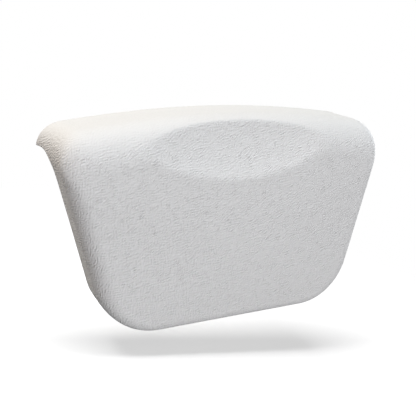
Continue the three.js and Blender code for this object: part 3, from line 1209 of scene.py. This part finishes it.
@dataclass
class SuctionCup:
    """A soft cup with a collar, a neck, a head that hooks behind the slot, and a pull tab."""

    fittings: Fittings
    radius: float = 0.025
    edge: float = 0.0012
    rim_land: float = 0.0024
    hollow: float = 0.004
    dome_fullness: float = 0.72
    hollow_fullness: float = 0.45
    collar_radius: float = 0.0075
    collar_height: float = 0.0015
    neck_radius: float = 0.0032
    head_radius: float = 0.0062
    head_height: float = 0.0045
    head_taper: float = 0.6
    tab_width: float = 0.009
    tab_reach: float = 0.007
    tab_thickness: float = 0.0012
    tab_stand_off: float = 0.0004
    curve_steps: int = 14

    def _bend(self, start: Vector, pull: Vector, end: Vector) -> list[Vector]:
        """A curve that leans towards a point beside it.

        Args:
            start: Where it starts.
            pull: The point that it leans towards.
            end: Where it ends.

        Returns:
            Points along the curve.
        """
        shares = np.linspace(0, 1, self.curve_steps + 1)
        return [start * (1 - t) ** 2 + pull * (2 * t * (1 - t)) + end * t**2 for t in shares]

    def profile(self) -> list[Vector]:
        """Half the cup's section, from the head's tip to the hollow's middle.

        Returns:
            Radius and Y of each point.
        """
        sizes = self.fittings
        head_back = sizes.floor_inner - sizes.gap
        head_front = head_back - self.head_height
        collar_end = sizes.floor_outer + sizes.gap
        dome_start = collar_end + self.collar_height
        shoulder = head_front + self.head_height * self.head_taper
        stem = [(0.0, head_front), (self.head_radius * self.head_taper, head_front)]
        stem += [(self.head_radius, shoulder), (self.head_radius, head_back)]
        stem += [(self.neck_radius, head_back), (self.neck_radius, collar_end)]
        points = [Vector(place) for place in [*stem, (self.collar_radius, collar_end)]]
        points += self._bend(
            Vector((self.collar_radius, dome_start)),
            Vector((self.radius * self.dome_fullness, dome_start / 2)),
            Vector((self.radius, -self.edge)),
        )
        points.append(Vector((self.radius, 0.0)))
        points += self._bend(
            Vector((self.radius - self.rim_land, 0.0)),
            Vector((self.radius * self.hollow_fullness, -self.hollow)),
            Vector((0.0, -self.hollow)),
        )
        return points

    def build(self, side: Side) -> Piece:
        """Model one cup.

        Args:
            side: Which side it belongs to.

        Returns:
            The cup as one closed solid.
        """
        sizes = self.fittings
        x, z = sizes.cup_x(side), sizes.cup_z
        points = self.profile()
        pick(None)
        bpy.ops.mesh.primitive_plane_add(size=MM)
        piece = named(f"soft_cup_{side.label}")
        with editing(piece):
            bpy.ops.mesh.select_all(action="SELECT")
            bpy.ops.mesh.merge(type="CENTER")
            bpy.ops.transform.translate(value=(x + points[0].x, points[0].y, z))
            for before, after in zip(points, points[1:]):
                step = after - before
                move = {"value": (step.x, step.y, 0.0)}
                bpy.ops.mesh.extrude_region_move(TRANSFORM_OT_translate=move)
            bpy.ops.mesh.select_all(action="SELECT")
            axis = {"center": (x, 0.0, z), "axis": (0.0, 1.0, 0.0)}
            bpy.ops.mesh.spin(steps=sizes.round_sides, angle=FULL_TURN, **axis)
        close_up(piece, SAME_POINT)
        combine(piece, self._tab(x, z), "UNION")
        close_up(piece, SAME_POINT)
        smooth_shading(piece)
        return piece

    def _tab(self, x: float, z: float) -> Piece:
        """The pull tab at the cup's lower edge: a flat bar with a round end.

        Args:
            x: Where the cup's axis is in X.
            z: Where it is in Z.

        Returns:
            The tab as a solid.
        """
        half = self.tab_width / 2
        high = -self.tab_stand_off
        low = high - self.tab_thickness
        top = z - self.radius + self.rim_land
        foot = z - self.radius - self.tab_reach + half
        tab = round_bar("tab", half, low, high, x, foot, self.fittings.small_sides)
        size = (2 * half, high - low, top - foot)
        stem = block("tab_stem", size, (x, (low + high) / 2, (top + foot) / 2))
        combine(tab, stem, "UNION")
        return tab


@dataclass
class SocketScrew:
    """A countersunk screw with a cross recess."""

    fittings: Fittings
    recess_reach: float = 0.0019
    recess_width: float = 0.0007
    recess_depth: float = 0.0011
    recess_taper: float = 0.55
    tip_share: float = 0.05
    crease_degrees: float = 35.0

    def build(self, side: Side, number: int) -> Piece:
        """Model one screw.

        Args:
            side: Which side it belongs to.
            number: Its number round the socket, from 1.

        Returns:
            The screw as one closed solid.
        """
        sizes = self.fittings
        x, z = sizes.screw_places(side)[number - 1]
        top = sizes.floor_outer - sizes.screw_sink
        tip = top - sizes.screw_length
        neck = top - sizes.screw_head_height
        shank = tip + sizes.screw_point
        growth = sizes.screw_head_radius / sizes.screw_radius
        name = f"countersunk_screw_{side.label}_{number}"
        piece = round_bar(name, sizes.screw_radius, shank, neck, x, z, sizes.small_sides)
        with editing(piece):
            select_end(piece, 1)
            push(sizes.screw_head_height)
            self._widen(growth, (x, top, z))
            select_end(piece, -1)
            push(-sizes.screw_point)
            self._widen(self.tip_share, (x, tip, z))
        for turn in (0.0, math.pi / 2):
            cut(piece, self._recess((x, top, z), turn))
        smooth_shading(piece, self.crease_degrees)
        return piece

    @staticmethod
    def _widen(growth: float, middle: Place) -> None:
        """Grow or shrink what is selected about an axis along Y."""
        bpy.ops.transform.resize(value=(growth, 1.0, growth), center_override=middle)

    def _recess(self, middle: Place, turn: float) -> Piece:
        """One bar of the cross recess, narrower at its floor.

        Args:
            middle: The middle of the screw's head.
            turn: The bar's turn about the screw.

        Returns:
            The bar as a solid.
        """
        size = (2 * self.recess_reach, 2 * self.recess_depth, self.recess_width)
        bar = block("recess", size, middle, turn)
        with editing(bar):
            select_end(bar, -1)
            self._widen(self.recess_taper, middle)
        return bar


# Studio


class Lit(Enum):
    """What a lamp lights, as the way that it takes the floor."""

    PILLOW = "EXCLUDE"
    FLOOR = "INCLUDE"


@dataclass(frozen=True)
class Lamp:
    """A soft lamp with a square or oblong face, aimed at the middle of the pillow."""

    name: str
    place: Place
    size: float
    power: float
    colour: Colour = (1.0, 1.0, 1.0)
    lit: Lit = Lit.PILLOW
    oblong: float = 1.0


@dataclass
class Studio:
    """The floor, the light and the camera."""

    aim: Place = (0.0, -0.02, -0.055)
    floor_z: float = -0.1808
    floor_slope: float = 10.5
    floor_size: float = 12.0
    floor_grey: float = 0.08
    floor_glow: float = 0.62
    floor_shade: float = 0.75
    fade_start: float = 0.30
    fade_end: float = 0.55
    camera_target: Place = (-0.01493, -0.02120, -0.05366)
    camera_distance: float = 0.54145
    camera_azimuth: float = 26.28
    camera_elevation: float = 16.64
    camera_roll: float = 2.12
    focal_pixels: float = 640.18
    picture_pixels: float = 416.0
    sensor: float = 36.0
    lamps: tuple[Lamp, ...] = (
        Lamp("overhead", (0.0, -0.044, 1.345), 0.9, 11.7, (0.9, 0.97, 1.0)),
        Lamp("floor_light", (-0.06, -0.02, 1.0), 0.5, 15.2, lit=Lit.FLOOR, oblong=2.2),
        Lamp("front", (0.0, -1.419, -0.006), 0.9, 12.9, (0.99, 0.985, 1.0), oblong=0.33),
        Lamp("back_left", (-0.70, 0.68, 0.935), 1.0, 10.4, (1.0, 0.89, 0.74)),
        Lamp("left", (-0.859, -0.095, 1.048), 0.7, 2.6, (1.0, 0.8, 0.75)),
        Lamp("right", (1.33, 0.34, 0.12), 0.8, 6.0, (0.92, 0.96, 1.0), oblong=0.5),
        Lamp("back", (0.05, 1.38, -0.08), 0.9, 6.5, oblong=0.2),
    )

    def build(self) -> None:
        """Set up the whole studio."""
        bpy.context.scene.view_settings.view_transform = "Standard"
        floor = self._floor()
        receivers = {lit: self._receivers(lit, floor) for lit in Lit}
        self._world()
        for lamp in self.lamps:
            self._lamp(lamp).light_linking.receiver_collection = receivers[lamp.lit]
        self._camera()

    @staticmethod
    def _receivers(lit: Lit, floor: Piece) -> bpy.types.Collection:
        """The group of objects that a lamp lights.

        Args:
            lit: What the lamp lights.
            floor: The floor.

        Returns:
            The group.
        """
        group = bpy.data.collections.new(f"{lit.name.lower()}_receivers")
        group.objects.link(floor)
        group.collection_objects[0].light_linking.link_state = lit.value
        return group

    @staticmethod
    def _seen(sheet: NodeSheet) -> bpy.types.NodeSocket:
        """Tell the rays that show the background: camera, glossy and transmission rays.

        Args:
            sheet: The node tree that asks.

        Returns:
            A socket that is 1 for these rays and 0 for the others.
        """
        path = sheet.add("ShaderNodeLightPath").outputs
        both = sheet.math("MAXIMUM", path["Is Camera Ray"], path["Is Glossy Ray"])
        return sheet.math("MAXIMUM", both, path["Is Transmission Ray"])

    def _floor(self) -> Piece:
        """A plain pale floor that keeps the shadow.

        Returns:
            The floor.
        """
        pick(None)
        slope = (0.0, math.radians(self.floor_slope), 0.0)
        place = (0.0, 0.0, self.floor_z)
        bpy.ops.mesh.primitive_plane_add(size=self.floor_size, location=place, rotation=slope)
        floor = named("floor")
        material = bpy.data.materials.new("pale_floor")
        material.use_nodes = True
        sheet = NodeSheet(material.node_tree)
        sheet.tree.nodes.remove(sheet.tree.nodes["Principled BSDF"])

        def shader(kind: str, inputs: Inputs) -> Socket:
            """Add a shader and give its socket."""
            return sheet.add(f"ShaderNode{kind}", inputs).outputs[0]

        glow = shader("Emission", {"Color": WHITE, "Strength": self.floor_glow})
        shown = shader("BsdfDiffuse", {"Color": (*[self.floor_shade] * 3, 1.0)})
        near = shader("AddShader", {0: glow, 1: shown})
        away = sheet.add(
            "ShaderNodeVectorMath",
            {0: sheet.add("ShaderNodeTexCoord").outputs["Object"]},
            operation="LENGTH",
        )
        ends = (self.fade_start, self.fade_end)
        fade = sheet.remap(away.outputs["Value"], ends, (0.0, 1.0), "SMOOTHSTEP")
        white = shader("Emission", {"Color": WHITE, "Strength": 1.0})
        bright = shader("MixShader", {0: fade, 1: near, 2: white})
        plain = shader("BsdfDiffuse", {"Color": (*[self.floor_grey] * 3, 1.0)})
        mix = shader("MixShader", {0: self._seen(sheet), 1: plain, 2: bright})
        sheet.feed(sheet.tree.nodes["Material Output"], {"Surface": mix})
        floor.data.materials.append(material)
        return floor

    def _world(self) -> None:
        """White where the background shows, and no light from elsewhere."""
        world = bpy.data.worlds.new("studio")
        bpy.context.scene.world = world
        world.use_nodes = True
        sheet = NodeSheet(world.node_tree)
        strength = self._seen(sheet)
        sheet.feed(sheet.tree.nodes["Background"], {"Color": WHITE, "Strength": strength})

    def _lamp(self, lamp: Lamp) -> Piece:
        """Add one lamp, turned to the pillow.

        Args:
            lamp: What the lamp is like.

        Returns:
            The lamp.
        """
        pick(None)
        towards = Vector(self.aim) - Vector(lamp.place)
        turn = towards.to_track_quat("-Z", "Y").to_euler()
        bpy.ops.object.light_add(type="AREA", location=lamp.place, rotation=turn)
        light = bpy.context.object
        light.name = lamp.name
        light.data.shape = "RECTANGLE"
        light.data.size = lamp.size
        light.data.size_y = lamp.size * lamp.oblong
        light.data.energy = lamp.power
        light.data.color = lamp.colour
        return light

    def _camera(self) -> None:
        """The photograph's view."""
        azimuth = math.radians(self.camera_azimuth)
        elevation = math.radians(self.camera_elevation)
        roll = Matrix.Rotation(math.radians(self.camera_roll), 3, "Z")
        level = math.cos(elevation)
        back = Vector((-math.sin(azimuth) * level, -math.cos(azimuth) * level, math.sin(elevation)))
        turn = back.to_track_quat("Z", "Y").to_matrix() @ roll
        place = Vector(self.camera_target) + back * self.camera_distance
        pick(None)
        bpy.ops.object.camera_add(location=place, rotation=turn.to_euler())
        camera = bpy.context.object
        camera.name = "photo_view"
        camera.data.sensor_width = self.sensor
        camera.data.lens = self.focal_pixels / self.picture_pixels * self.sensor
        bpy.context.scene.camera = camera


def main() -> None:
    """Build every piece, dress it and set up the studio."""
    logging.basicConfig(level=logging.INFO, format="%(name)s: %(message)s")
    form, fittings, effects = PillowForm(), Fittings(), SurfaceEffects()

    cover = CushionCover(form, fittings)
    piece = cover.build()
    dress(piece, GRAINED_SKIN.material(effects), Slot.SKIN, Body.PILLOW, "cushion_skin")

    filling = FoamFilling(form, fittings)
    piece = filling.build()
    dress(piece, OPEN_FOAM.material(effects), Slot.FOAM, Body.PILLOW, "foam_core")

    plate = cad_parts["carrier_plate"]
    plate.data.materials.clear()
    plate.data.materials.append(PLATE_PLASTIC.material(effects))

    socket, cup, screw = CupSocket(fittings), SuctionCup(fittings), SocketScrew(fittings)
    socket_plastic = SOCKET_PLASTIC.material(effects)
    milky_vinyl = MILKY_VINYL.material(effects)
    screw_steel = SCREW_STEEL.material(effects)
    for side in SIDES:
        piece = socket.build(side)
        dress(piece, socket_plastic, Slot.SOCKET, Body.PILLOW, f"cup_socket_{side.label}")
        piece = cup.build(side)
        dress(piece, milky_vinyl, Slot.CUP, side.cup_body, f"suction_cup_{side.label}")
        for number in range(1, fittings.screw_count + 1):
            piece = screw.build(side, number)
            node = f"socket_screw_{side.label}_{number}"
            dress(piece, screw_steel, Slot.SCREW, Body.PILLOW, node)

    Studio().build()
    pick(None)


if __name__ == "__main__":
    main()
